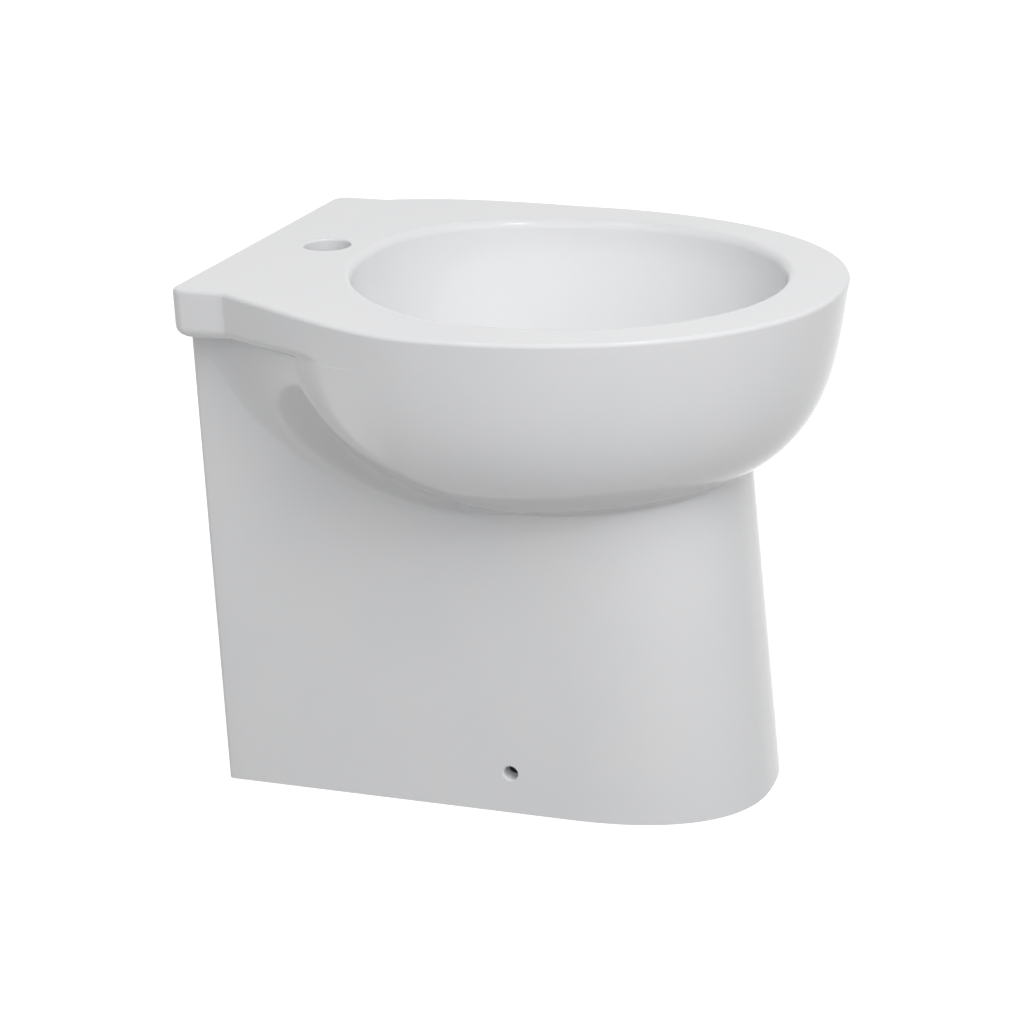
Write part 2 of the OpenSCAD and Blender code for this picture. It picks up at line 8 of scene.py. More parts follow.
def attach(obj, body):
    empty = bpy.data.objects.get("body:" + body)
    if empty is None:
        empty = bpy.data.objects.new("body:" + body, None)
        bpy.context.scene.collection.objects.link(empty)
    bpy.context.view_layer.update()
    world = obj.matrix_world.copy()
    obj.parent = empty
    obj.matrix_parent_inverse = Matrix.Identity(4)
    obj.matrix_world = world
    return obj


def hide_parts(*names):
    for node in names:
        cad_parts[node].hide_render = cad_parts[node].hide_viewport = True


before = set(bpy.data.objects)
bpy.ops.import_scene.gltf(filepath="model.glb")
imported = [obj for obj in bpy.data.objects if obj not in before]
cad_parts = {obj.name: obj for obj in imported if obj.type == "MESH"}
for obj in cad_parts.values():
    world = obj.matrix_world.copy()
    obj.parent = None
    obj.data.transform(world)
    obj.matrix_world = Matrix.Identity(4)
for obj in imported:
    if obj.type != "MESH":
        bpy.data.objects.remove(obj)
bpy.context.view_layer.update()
scene = bpy.context.scene
scene.view_settings.view_transform = "Standard"


# The camera: stands beside the pan's left side, a little to the front, about 1.7 m away and well
# above it, with a longish lens, and leans about two degrees to one side.
lens_px = 2204.5
image_px = 1024
film_w = 36
stand = (-1.4551, -0.5352, 0.8127)
around = math.radians(-68.89)
above = math.radians(21.46)
lean = math.radians(-1.909)
right = Vector((math.cos(around), math.sin(around), 0))
ahead = Vector((-math.sin(around) * math.cos(above), math.cos(around) * math.cos(above),
                -math.sin(above)))
up = right.cross(ahead)
right, up = (right * math.cos(lean) + up * math.sin(lean),
             up * math.cos(lean) - right * math.sin(lean))
camera = bpy.data.objects.new("camera", bpy.data.cameras.new("camera"))
scene.collection.objects.link(camera)
camera.data.sensor_width = film_w
camera.data.lens = lens_px * film_w / image_px
camera.matrix_world = (Matrix.Translation(stand)
                       @ Matrix((right, up, -ahead)).transposed().to_4x4())
scene.camera = camera


# The studio: a plain white sweep that the camera sees as clean white, and that keeps a faint
# shadow under the foot, in a white room with soft square lamps.
def linear(hex_colour):
    """An sRGB hex colour as the linear colour that the nodes take."""
    parts = [int(hex_colour[i:i + 2], 16) / 255 for i in (1, 3, 5)]
    return tuple(c / 12.92 if c <= 0.04045 else ((c + 0.055) / 1.055) ** 2.4
                 for c in parts) + (1.0,)


def add(tree, kind, settings=None, **links):
    """Adds one node: settings are its properties and socket values, links are sockets to join."""
    new = tree.nodes.new(kind)
    for name, value in (settings or {}).items():
        if hasattr(new, name):
            setattr(new, name, value)
        else:
            new.inputs[name].default_value = value
    for name, source in links.items():
        tree.links.new(source, new.inputs[name.replace("_", " ")])
    return new


def new_material(name):
    made = bpy.data.materials.new(name)
    made.use_nodes = True
    made.node_tree.nodes.clear()
    return made, made.node_tree


def seen_directly(tree):
    """1 for rays from the camera, in a mirror or through glass, 0 for light on its way."""
    path = add(tree, "ShaderNodeLightPath")
    seen = path.outputs["Is Camera Ray"]
    for ray in ("Is Glossy Ray", "Is Transmission Ray"):
        most = add(tree, "ShaderNodeMath", {"operation": "MAXIMUM"})
        tree.links.new(seen, most.inputs[0])
        tree.links.new(path.outputs[ray], most.inputs[1])
        seen = most.outputs[0]
    return seen


floor_size = 12
paper_glow = 0.94
room_light = 0.3
bpy.ops.object.select_all(action="DESELECT")
bpy.ops.mesh.primitive_plane_add(size=floor_size, location=(0, 0, 0))
floor = bpy.context.object
floor.name = "floor"
paper, tree = new_material("matt white paper sweep")
matt = add(tree, "ShaderNodeBsdfDiffuse", {"Color": linear("#A6A6A6")})
glow = add(tree, "ShaderNodeEmission", {"Color": (1, 1, 1, 1), "Strength": paper_glow})
dark = add(tree, "ShaderNodeEmission", {"Color": (0, 0, 0, 1), "Strength": 0.0})
lift = add(tree, "ShaderNodeMixShader", Fac=seen_directly(tree))
tree.links.new(dark.outputs[0], lift.inputs[1])
tree.links.new(glow.outputs[0], lift.inputs[2])
both = add(tree, "ShaderNodeAddShader")
tree.links.new(matt.outputs[0], both.inputs[0])
tree.links.new(lift.outputs[0], both.inputs[1])
add(tree, "ShaderNodeOutputMaterial", Surface=both.outputs[0])
floor.data.materials.append(paper)

world = bpy.data.worlds.new("white room")
scene.world = world
world.use_nodes = True
world.node_tree.nodes.clear()
tree = world.node_tree
room = add(tree, "ShaderNodeBackground", {"Color": (1, 1, 1, 1), "Strength": room_light})
white = add(tree, "ShaderNodeBackground", {"Color": (1, 1, 1, 1), "Strength": 1.0})
split = add(tree, "ShaderNodeMixShader", Fac=seen_directly(tree))
tree.links.new(room.outputs[0], split.inputs[1])
tree.links.new(white.outputs[0], split.inputs[2])
add(tree, "ShaderNodeOutputWorld", Surface=split.outputs[0])


def softbox(name, place, aim_z, side, watts, mirrored=False):
    """A square lamp, which the glaze and the chrome mirror only where that is said."""
    lamp = bpy.data.objects.new(name, bpy.data.lights.new(name, "AREA"))
    scene.collection.objects.link(lamp)
    lamp.data.size = side
    lamp.data.energy = watts
    lamp.visible_glossy = mirrored
    lamp.location = place
    aim = Vector((0, 0, aim_z))
    lamp.rotation_euler = (aim - Vector(place)).to_track_quat("-Z", "Y").to_euler()


softbox("key softbox", (-1.2, -1.2, 1.9), 0.25, 1.0, 16)
softbox("front softbox", (-1.0, -1.7, 1.2), 0.25, 0.8, 3)
softbox("left softbox", (-2.2, -0.6, 1.4), 0.25, 1.6, 11)
softbox("rear left softbox", (-2.0, 1.5, 1.2), 0.25, 1.6, 2)
softbox("right softbox", (1.8, 0.2, 1.8), 0.3, 1.6, 9.5)
softbox("spot over the rim", (-0.75, -0.8, 2.1), 0.3, 0.4, 4, mirrored=True)
softbox("spot over the bowl", (-0.5, 0.5, 2.2), 0.3, 0.3, 1.2, mirrored=True)


# The pan: one piece of vitreous china, slip-cast in a plaster mould, glazed white and fired.
# Its tap deck, rim, bowl, belly and hollow foot are one skin, so its rings are worked out from
# the outlines of those five, ring by ring, and the holes are then cut as in the wet clay.
half_depth = 0.225
drain_y = 0.020
deck_z = 0.400
half_rim = 0.1875
rim_n = 2.1
rim_drop = 0.0074
rim_z = deck_z - rim_drop
rim_edge = 0.003
drop_start = half_depth - 0.040
drop_length = 0.170
half_deck = 0.1425
deck_corner = 0.010
side_end = half_depth - 0.042
apron_z = 0.365
lip = 0.008
wall_z = apron_z + lip
mouth_half_w = 0.149
mouth_half_l = 0.163
mouth_y = half_depth - 0.086 - mouth_half_l
mouth_front_n = 2
mouth_back_n = 2.2
roll = 0.007
bowl_z = 0.250
bowl_n = 1.65
bowl_wall = 0.012
floor_r = 0.036
belly_depth = 0.155
belly_draw = 0.08
belly_n = 3.85
belly_end = 0.02
belly_low_z = rim_z - 0.1365
belly_low_y = half_depth - 0.255
flank_y = half_depth - 0.115
flank_l = flank_y - belly_low_y
flank_h = apron_z - belly_low_z
flank_n = 1.6
flank_round = 0.010
flank_start = -0.060
upright_y = flank_y + 0.014
upright_length = 0.080
cove_w = 0.104
cove_h = 0.022
cove_n = 1.5
foot_half = 0.116
foot_draw = 0.026
foot_front = half_depth - 0.4055
foot_lean = 0.0255
foot_lean_z = 0.260
foot_n = 2.45
foot_round_y = half_depth - 0.270
foot_corner = 0.004
foot_wall = 0.012
hollow_back = half_depth + 0.002
hollow_round = 0.004


def share(value):
    return np.clip(value, 0, 1)


def ease(value):
    """A share that starts and ends softly."""
    k = share(value)
    return k * k * (3 - 2 * k)


def fall(y):
    """How far the rim lies below the deck's top at y."""
    return rim_drop * ease((drop_start - y) / drop_length)


def oval(part, power):
    return (1 - share(part) ** power) ** (1 / power)


# Each outline gives the half width of one form at y on the level z, so that reach and line_z can
# follow any of them, and some forms are the same on all levels.
def rim_x(y, z):
    corner = half_deck - deck_corner + np.sqrt(
        np.maximum(deck_corner ** 2 - np.maximum(y - half_depth + deck_corner, 0) ** 2, 0))
    waist = half_deck + (half_rim - half_deck) * np.sin(
        math.pi / 2 * share((side_end - y) / (side_end - drain_y)))
    front = half_rim * oval((drain_y - y) / (half_depth + drain_y), rim_n)
    return np.where(y > half_depth - deck_corner, corner, np.where(y > drain_y, waist, front))


def mouth_x(y, z):
    power = np.where(y < mouth_y, mouth_front_n, mouth_back_n)
    return mouth_half_w * oval(np.abs(y - mouth_y) / mouth_half_l, power)


def foot_x(y, z, wall=0.0):
    front = foot_front + foot_lean * share(z / foot_lean_z) + wall
    side = foot_half - foot_draw * (half_depth - y) / (2 * half_depth) - wall
    edge = np.where(wall > 0, 0, np.maximum(y - half_depth + foot_corner, 0))
    cut_off = foot_corner - np.sqrt(np.maximum(foot_corner ** 2 - edge ** 2, 0))
    return np.where(y > foot_round_y, side - cut_off,
                    side * oval((foot_round_y - y) / (foot_round_y - front), foot_n))


def hollow_x(y, z):
    return foot_x(y, z, foot_wall)


def belly_share(z):
    """Size of the belly's outline on the level z, as a share of the rim's."""
    h = share((rim_z - z) / belly_depth)
    return (1 - belly_draw * h) * np.maximum(1 - h ** belly_n, 0) ** (1 / belly_n)


def leaning(y):
    """Share by which the wall leans in with the belly instead of standing upright."""
    return ease((upright_y - y) / upright_length)


def belly_x(y, z):
    s = np.maximum(belly_share(z), belly_end)
    front = half_rim * s * oval((drain_y - y) / ((half_depth + drain_y) * s), rim_n)
    back = rim_x(y, z) * (1 - (1 - s) * leaning(y))
    return np.where(belly_share(z) < belly_end, 0, np.where(y < drain_y, front, back))


def flank_q(y, z):
    """Distance from the middle of the belly's side: 1 is the belly's rear and lower edge."""
    back = np.maximum(y - belly_low_y, 0) / flank_l
    down = np.maximum(apron_z - z, 0) / flank_h
    return (back ** flank_n + down ** flank_n) ** (1 / flank_n)


def cove_q(c):
    """The same distance for the line where the cove runs out into the foot."""
    low = cove_h / flank_h
    return 1 + low + (cove_w / flank_l - low) * ease(c)


def flank_x(y, z):
    """Half width of belly, cove and foot beside and behind the belly's lowest point."""
    q = np.maximum(flank_q(y, z), 0.2)
    c = share(np.maximum(y - belly_low_y, 0) / flank_l / q)
    near_y = belly_low_y + flank_l * c
    near_z = apron_z - flank_h * oval(c, flank_n)
    foot = foot_x(y, z)
    rise = belly_x(near_y, near_z) - foot_x(near_y, near_z)
    u = (q - 1) / (cove_q(c) - 1)
    cove = foot + rise * np.maximum(1 - u, 0) ** cove_n
    side = np.where(q < 1, belly_x(y, z), belly_x(near_y, near_z))
    h = np.maximum(flank_round - np.abs(side - cove), 0) / flank_round
    joined = np.maximum(foot, np.minimum(side, cove) - h * h * flank_round / 4)
    return np.where(y > flank_y + cove_w, foot, joined)


def halve(low, high, holds, times=20):
    """Narrows the span between low, where a test holds, and high, where it does not, for each
    direction on its own."""
    low, high = np.full_like(turns, low), np.full_like(turns, high)
    for _ in range(times):
        mid = (low + high) / 2
        there = holds(mid)
        low, high = np.where(there, mid, low), np.where(there, high, mid)
    return low, high


def reach(outline, z, back=half_depth):
    """How far an outline lies from the drain's axis in each direction, at most 0.42 m."""
    def inside(r):
        y = drain_y + r * np.cos(turns)
        width = outline(y, z)
        return (y <= back) & (width > 0.00001) & (r * np.sin(turns) <= width)
    return halve(0, 0.420, inside, 26)[0]


def blend_max(a, b, k):
    """The greater of two radii, rounded over k where they meet."""
    h = np.maximum(k - np.abs(a - b), 0) / k
    return np.maximum(a, b) + h * h * k / 4


# Half of the deck's plan, from the middle of the back round the corner and the side to the front.
# It sets the directions of all rings, with one point in line with the hollow's inner corner.
inner_corner = (foot_half - foot_wall) * (half_depth - drain_y) / (hollow_back - drain_y)
plan = [(x, half_depth) for x in np.linspace(0, inner_corner, 10, endpoint=False)]
plan += [(x, half_depth) for x in (inner_corner, 0.108, 0.112, 0.114, 0.116, 0.118, 0.1235)]
plan += [(half_deck - deck_corner * (1 - math.sin(t)),
          half_depth - deck_corner * (1 - math.cos(t))) for t in np.linspace(0, math.pi / 2, 10)]
plan += [(half_deck, y) for y in np.linspace(half_depth - deck_corner, side_end, 6)[1:]]
plan += [(float(rim_x(y, 0)), y) for y in np.linspace(side_end, drain_y, 72)[1:]]
plan += [(half_rim * math.cos(t) ** (2 / rim_n),
          drain_y - (half_depth + drain_y) * math.sin(t) ** (2 / rim_n))
         for t in np.linspace(0, math.pi / 2, 64)[1:-1]] + [(0.0, -half_depth)]
turns = np.array([math.atan2(x, y - drain_y) for x, y in plan])
plan_y = np.array([y for x, y in plan])
rim_r = reach(rim_x, 0)
mouth_r = reach(mouth_x, 0)
roll_z = deck_z - fall(drain_y + mouth_r * np.cos(turns)) - roll
crease_k = np.interp(plan_y, [-half_depth, flank_start, drain_y], [0.008, 0.024, 0.028])
flank_k = ease((plan_y - flank_start) / (drain_y - flank_start))


def wall_r(z):
    """Radius of the upright wall under the rim, which leans in with the belly in front."""
    return rim_r * (1 - (1 - belly_share(z)) * leaning(plan_y))


def low_r(z):
    """Radius of belly and foot together, by the crease in front and by the cove behind."""
    front = blend_max(reach(belly_x, z), reach(foot_x, z), crease_k)
    return flank_k * reach(flank_x, z) + (1 - flank_k) * front


def under_r(z):
    """Radius along the rounded lower edge of the deck's apron."""
    down = share((wall_z - z) / lip)
    inset = lip * (1 - np.sqrt(1 - down * down))
    return np.minimum(wall_r(z), blend_max(wall_r(z) - inset, low_r(z), 0.003))


def bowl_ring(part, wall=0.0):
    """One ring of the bowl's wall: part runs from 0 at the roll to 1 on the bowl's floor."""
    r = floor_r + (mouth_r - roll + wall - floor_r) * (1 - part ** bowl_n) ** (1 / bowl_n)
    return r, roll_z - (roll_z - bowl_z + wall) * part


def laid_skin(name, rings):
    """A sheet with one row of points per ring, rolled round the drain and closed at both ends."""
    rows = len(rings)
    around_n = 2 * len(turns) - 2
    bpy.ops.object.select_all(action="DESELECT")
    bpy.ops.mesh.primitive_grid_add(x_subdivisions=around_n, y_subdivisions=rows - 1, size=1)
    skin = bpy.context.object
    skin.name = skin.data.name = name
    places = np.zeros((rows, around_n + 1, 3))
    for row, (r, z) in enumerate(rings):
        r = np.broadcast_to(r, turns.shape)
        z = np.broadcast_to(z, turns.shape)
        one = np.stack([r * np.sin(turns), drain_y + r * np.cos(turns), z], 1)
        other = one[-2:0:-1] * (-1, 1, 1)
        places[row] = np.concatenate([one, other, one[:1]])
    skin.data.vertices.foreach_set("co", places.ravel())
    skin.data.update()
    bpy.ops.object.mode_set(mode="EDIT")
    bpy.ops.mesh.select_all(action="SELECT")
    bpy.ops.mesh.remove_doubles(threshold=0.00002)
    bpy.ops.mesh.select_all(action="DESELECT")
    bpy.ops.mesh.select_non_manifold()
    bpy.ops.mesh.edge_face_add()
    bpy.ops.mesh.select_all(action="SELECT")
    bpy.ops.mesh.normals_make_consistent(inside=False)
    bpy.ops.object.mode_set(mode="OBJECT")
    return skin


# The outer skin, in order: bowl, roll of the mouth, rim's top, its edge, the upright wall, the
# apron's lower edge, the belly down to its own edge, the cove, and the foot.
rings = [bowl_ring(math.cos(t) ** (2 / bowl_n)) for t in np.linspace(0, math.pi / 2, 26)[:-1]]
rings.append(bowl_ring(0.0))
rings += [(mouth_r - roll * math.cos(t), roll_z + roll * math.sin(t))
          for t in np.linspace(0, math.pi / 2, 10)[1:]]
edge_end = deck_z - fall(plan_y) - rim_edge
edge_r = wall_r(edge_end)
for part in (0.12, 0.25, 0.5, 0.75, 0.9):
    r = mouth_r * (1 - part) + (edge_r - rim_edge) * part
    rings.append((r, deck_z - fall(drain_y + r * np.cos(turns))))
rings += [(edge_r - rim_edge * (1 - math.cos(t)), edge_end + rim_edge * math.sin(t))
          for t in np.linspace(math.pi / 2, 0, 9)]
for part in (0.15, 0.35, 0.55, 0.78):
    z = edge_end + (wall_z - edge_end) * part
    rings.append((wall_r(z), z))
rings += [(under_r(wall_z - lip * part), wall_z - lip * part)
          for part in (0, 0.2, 0.38, 0.54, 0.68, 0.8, 0.89, 0.95, 0.985, 1)]
# The crease is the height at which belly and foot reach equally far.
crease = halve(belly_low_z - 0.030, belly_low_z + 0.040,
               lambda z: reach(belly_x, z) <= reach(foot_x, z))[1]


def line_z(outline, low_z, high_z, at_edge):
    """Height at which an outline crosses the belly's edge, or the line where the cove ends."""
    def outside(z):
        y = drain_y + reach(outline, z) * np.cos(turns)
        q = flank_q(y, z)
        c = share(np.maximum(y - belly_low_y, 0) / flank_l / np.maximum(q, 0.01))
        return q > (1 if at_edge else cove_q(c))
    return halve(low_z, high_z, outside)[1]


# Both lines are searched for from just below the belly up to just under the apron. In front,
# where there is no cove, they run close above and below the crease.
edge_z = line_z(belly_x, belly_low_z - 0.005, apron_z - 0.012, True)
edge_z = flank_k * edge_z + (1 - flank_k) * (crease + 0.010)
cove_z = line_z(foot_x, belly_low_z - cove_h - 0.005, apron_z - 0.024, False)
cove_z = flank_k * cove_z + (1 - flank_k) * (crease - 0.012)
for part in [0.998] + list(np.linspace(0.97, 0, 34)):
    z = edge_z + (apron_z - edge_z) * part
    rings.append((low_r(z), z))
for part in np.linspace(0.96, 0, 26):
    z = cove_z + (edge_z - cove_z) * part
    rings.append((low_r(z), z))
for part in (0.97, 0.9, 0.75, 0.5, 0.25, 0):
    rings.append((reach(foot_x, cove_z * part), cove_z * part))
pan = laid_skin("ceramic_pan", rings)


def hollow_r(z):
    """Radius of the hollow, one wall inside the foot and the skin above it."""
    foot_r = reach(hollow_x, z, hollow_back)
    skin_r = np.minimum(np.minimum(low_r(z), low_r(z - foot_wall)), wall_r(z)) - foot_wall
    return blend_max(foot_r, skin_r, hollow_round)


def in_china(part):
    """Whether the bowl's underside, at this part of its wall, is still inside the outer wall."""
    r, z = bowl_ring(part, bowl_wall)
    return r >= hollow_r(z) - 0.003


# The hollow: the bowl's underside up to where it meets the wall, then down inside the foot, with
# a last ring just below the floor so that the cut is open there.
roof_drop = 0.022
roof = (roof_drop - roll) / (rim_z - roll - bowl_z + bowl_wall)
meet = halve(roof, 1, in_china)[1]
rings = [bowl_ring(1 - (1 - meet) * part, bowl_wall)
         for part in (0, 0.004, 0.012, 0.03, 0.06, 0.1, 0.16, 0.24, 0.34, 0.46, 0.6, 0.75, 0.88, 1)]
top_z = bowl_ring(meet, bowl_wall)[1]
for part in (0, 0.04, 0.08, 0.13, 0.18, 0.24, 0.3, 0.36, 0.42, 0.5, 0.7, 1):
    z = top_z * (1 - part)
    rings.append((hollow_r(z), z - 0.002 * part))
hollow = laid_skin("hollow", rings)


def turned(name, centre, profile, steps=96, tilt=0.0):
    """A closed solid spun from (radius, height) points about an upright or tilted axis."""
    bpy.ops.object.select_all(action="DESELECT")
    bpy.ops.mesh.primitive_plane_add(size=0.01)
    solid = bpy.context.object
    solid.name = solid.data.name = name
    bpy.ops.object.mode_set(mode="EDIT")
    shape = bmesh.from_edit_mesh(solid.data)
    bmesh.ops.delete(shape, geom=shape.verts[:], context="VERTS")
    points = [shape.verts.new((r, 0, h)) for r, h in profile]
    for one, two in zip(points, points[1:]):
        shape.edges.new((one, two))
    if profile[0][0] > 0 or profile[-1][0] > 0:
        shape.edges.new((points[-1], points[0]))
    bmesh.update_edit_mesh(solid.data)
    bpy.ops.mesh.select_all(action="SELECT")
    bpy.ops.mesh.spin(steps=steps, angle=2 * math.pi, center=(0, 0, 0), axis=(0, 0, 1))
    bpy.ops.mesh.select_all(action="SELECT")
    bpy.ops.mesh.remove_doubles(threshold=0.00001)
    bpy.ops.mesh.normals_make_consistent(inside=False)
    bpy.ops.object.mode_set(mode="OBJECT")
    if tilt:
        solid.data.transform(Matrix.Rotation(tilt, 4, "Y"))
    solid.data.transform(Matrix.Translation(centre))
    return solid


def select_only(piece):
    bpy.ops.object.select_all(action="DESELECT")
    piece.select_set(True)
    bpy.context.view_layer.objects.active = piece


def cut(piece, tool, how="DIFFERENCE"):
    """Cuts a tool out of a piece, or joins it on, and clears the slivers that this leaves."""
    select_only(piece)
    change = piece.modifiers.new("cut", "BOOLEAN")
    change.operation = how
    change.object = tool
    change.solver = "EXACT"
    bpy.ops.object.modifier_apply(modifier=change.name)
    bpy.ops.object.mode_set(mode="EDIT")
    bpy.ops.mesh.select_all(action="SELECT")
    bpy.ops.mesh.remove_doubles(threshold=0.00001)
    bpy.ops.mesh.dissolve_degenerate(threshold=0.00001)
    bpy.ops.object.mode_set(mode="OBJECT")
    bpy.data.objects.remove(tool)


def flare(hole_r, curve, low, count):
    """A hole's rounded mouth, 60 degrees of an arc. It stops short of lying in line with the
    surface, and its tool has an odd number of steps, because a cut fails where faces coincide."""
    return [(hole_r + curve * (1 - math.cos(t)), low + curve * math.sin(t))
            for t in np.linspace(0, math.pi / 3, count)]


# A boss is joined on under the bowl's floor. Then come the recess for the waste's flange, the
# drain, the tap hole and the two fixing holes, each tool as points of radius and height.
boss_r = 0.040
boss_top = bowl_z - 0.006
recess_r = 0.034
recess_floor = bowl_z - 0.0045
boss_low = recess_floor - 0.020
drain_r = 0.0225
cut(pan, hollow)
cut(pan, turned("boss", (0, drain_y, 0), [
    (0, boss_low), (0.0385, boss_low), (0.0395, boss_low + 0.0004), (boss_r, boss_low + 0.0015),
    (boss_r, boss_top), (0, boss_top)]), "UNION")
cut(pan, turned("recess", (0, drain_y, 0), [
    (0, recess_floor), (recess_r, recess_floor), (recess_r, bowl_z - 0.0008),
    (0.0343, bowl_z - 0.0002), (0.0348, bowl_z), (0.0348, bowl_z + 0.004), (0, bowl_z + 0.004)]))
cut(pan, turned("drain", (0, drain_y, 0), [
    (0, boss_low - 0.002), (drain_r, boss_low - 0.002), (drain_r, bowl_z), (0, bowl_z)]))
tap_y = half_depth - 0.0575
tap_r = 0.0175
tap_low = 0.366
tap_top = deck_z + 0.0027
cut(pan, turned("tap_hole", (0, tap_y, 0), [(0, tap_low), (tap_r, tap_low)]
                + flare(tap_r, 0.0018, deck_z - 0.0023, 6)
                + [(0.0244, tap_top), (0, tap_top)], 95))
fix_r = 0.0055
fix_back = 0.230
fix_x = foot_half - foot_draw * fix_back / (2 * half_depth)
for side in (1, -1):
    place = (side * (fix_x - foot_wall), half_depth - fix_back, 0.033)
    cut(pan, turned("fixing_hole", place, [(0, -0.006), (fix_r, -0.006)]
                    + flare(fix_r, 0.0012, 0.0105, 5) + [(0.0113, 0.0145), (0, 0.0145)],
                    47, side * math.pi / 2))

select_only(pan)
bpy.ops.object.shade_smooth_by_angle(angle=math.radians(34))
even = pan.modifiers.new("even", "WEIGHTED_NORMAL")
even.keep_sharp = True
even.weight = 60
bpy.ops.object.modifier_apply(modifier=even.name)

# Vitreous china: a clear alkaline glaze over white clay. The glaze lies smooth and glossy, with a
# very slow waviness from the fired body and fine specks in its gloss.
glaze, tree = new_material("glazed vitreous china")
where = add(tree, "ShaderNodeTexCoord")
waves = add(tree, "ShaderNodeTexNoise", {"Scale": 14.0, "Detail": 1.0, "Roughness": 0.4},
            Vector=where.outputs["Object"])
specks = add(tree, "ShaderNodeTexNoise", {"Scale": 900.0, "Detail": 2.0},
             Vector=where.outputs["Object"])
tone = add(tree, "ShaderNodeValToRGB", Fac=waves.outputs["Fac"])
tone.color_ramp.elements[0].color = linear("#ECEDEF")
tone.color_ramp.elements[1].color = linear("#F1F1F2")
gloss = add(tree, "ShaderNodeMapRange", {"To Min": 0.05, "To Max": 0.09},
            Value=specks.outputs["Fac"])
ripple = add(tree, "ShaderNodeBump", {"Strength": 0.06, "Distance": 0.002},
             Height=waves.outputs["Fac"])
china = add(tree, "ShaderNodeBsdfPrincipled", {"IOR": 1.52}, Base_Color=tone.outputs["Color"],
            Roughness=gloss.outputs["Result"], Normal=ripple.outputs["Normal"])
add(tree, "ShaderNodeOutputMaterial", Surface=china.outputs[0])
pan.data.materials.clear()
pan.data.materials.append(glaze)
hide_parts("ceramic_body")
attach(pan, "pan")


# The flange seal: a flat ring punched from black EPDM sheet, laid in the recess of the china and
# squeezed under the waste's flange.
def dress(node, material, edge):
    """Gives a CAD node its finish and breaks its sharp edges, as moulding or turning leaves them."""
    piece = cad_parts[node]
    for place in piece.material_slots:
        place.material = material
    joined = piece.modifiers.new("joined faces", "WELD")
    joined.merge_threshold = 0.000005
    edges = piece.modifiers.new("broken edges", "BEVEL")
    edges.width = edge
    edges.segments = 3
    edges.limit_method = "ANGLE"
    edges.angle_limit = math.radians(40)
    smooth = piece.modifiers.new("even light", "WEIGHTED_NORMAL")
    smooth.keep_sharp = True


# Black EPDM rubber: near black and dull, with a fine grain and a faint grey bloom in patches.
rubber, tree = new_material("black EPDM rubber")
where = add(tree, "ShaderNodeTexCoord")
grain = add(tree, "ShaderNodeTexNoise", {"Scale": 1800.0, "Detail": 3.0},
            Vector=where.outputs["Object"])
bloom = add(tree, "ShaderNodeTexNoise", {"Scale": 60.0, "Detail": 2.0},
            Vector=where.outputs["Object"])
tone = add(tree, "ShaderNodeValToRGB", Fac=bloom.outputs["Fac"])
tone.color_ramp.elements[0].color = linear("#1C1C1D")
tone.color_ramp.elements[1].color = linear("#2A2A2B")
dull = add(tree, "ShaderNodeMapRange", {"To Min": 0.62, "To Max": 0.82},
           Value=grain.outputs["Fac"])
skin = add(tree, "ShaderNodeBump", {"Strength": 0.3, "Distance": 0.0001},
           Height=grain.outputs["Fac"])
soft = add(tree, "ShaderNodeBsdfPrincipled", {"IOR": 1.5}, Base_Color=tone.outputs["Color"],
           Roughness=dull.outputs["Result"], Normal=skin.outputs["Normal"])
add(tree, "ShaderNodeOutputMaterial", Surface=soft.outputs[0])
dress("flange_seal", rubber, 0.0003)


# The waste: turned and threaded from cast brass and chrome-plated. Its flange lies on the seal,
# its tube goes down through the china, and three spokes inside carry the click cartridge.
waste_low = 0.1655
bore_r = 0.0180
flange_low = bowl_z - 0.0025
flange_r = 0.0320
flange_edge = 0.0010
edge_mid = bowl_z - flange_edge
thread_r = 0.02075
thread_low = 0.1670
groove = 0.0006
half_pitch = 0.00075
threads = [(thread_r - groove * (i % 2), thread_low + half_pitch * i) for i in range(87)]
lip_out = [(flange_r - flange_edge + flange_edge * math.sin(t),
            edge_mid + flange_edge * math.cos(t)) for t in np.linspace(math.pi / 2, 0, 7)]
lip_in = [(bore_r + flange_edge - flange_edge * math.sin(t),
           edge_mid + flange_edge * math.cos(t)) for t in np.linspace(0, math.pi / 2, 7)]
waste = turned("waste", (0, drain_y, 0), [(bore_r, waste_low), (0.0201, waste_low)] + threads + [
    (thread_r, flange_low), (0.0318, flange_low), (flange_r, flange_low + 0.0002)]
    + lip_out + lip_in)
core_r = 0.0072
hub_r = 0.0100
hub_low = 0.1995
hub_top = 0.2115
hub = turned("hub", (0, drain_y, 0), [
    (core_r, hub_low), (0.0097, hub_low), (hub_r, hub_low + 0.0003), (hub_r, hub_top - 0.0003),
    (0.0097, hub_top), (core_r, hub_top)])
spoke_mid = 0.0138
spoke_size = (0.0110, 0.0050, 0.0119)
for turn in (90, 210, 330):
    a = math.radians(turn)
    place = (spoke_mid * math.cos(a), drain_y + spoke_mid * math.sin(a), (hub_low + hub_top) / 2)
    bpy.ops.object.select_all(action="DESELECT")
    bpy.ops.mesh.primitive_cube_add(size=1, rotation=(0, 0, a), scale=spoke_size, location=place)
    spoke = bpy.context.object
    bpy.ops.object.transform_apply(location=True, rotation=True, scale=True)
    cut(hub, spoke, "UNION")
cut(hub, turned("core", (0, drain_y, 0), [(0, 0.19), (core_r, 0.19), (core_r, 0.22), (0, 0.22)]))
cut(waste, hub, "UNION")
select_only(waste)
bpy.ops.object.shade_smooth_by_angle(angle=math.radians(35))

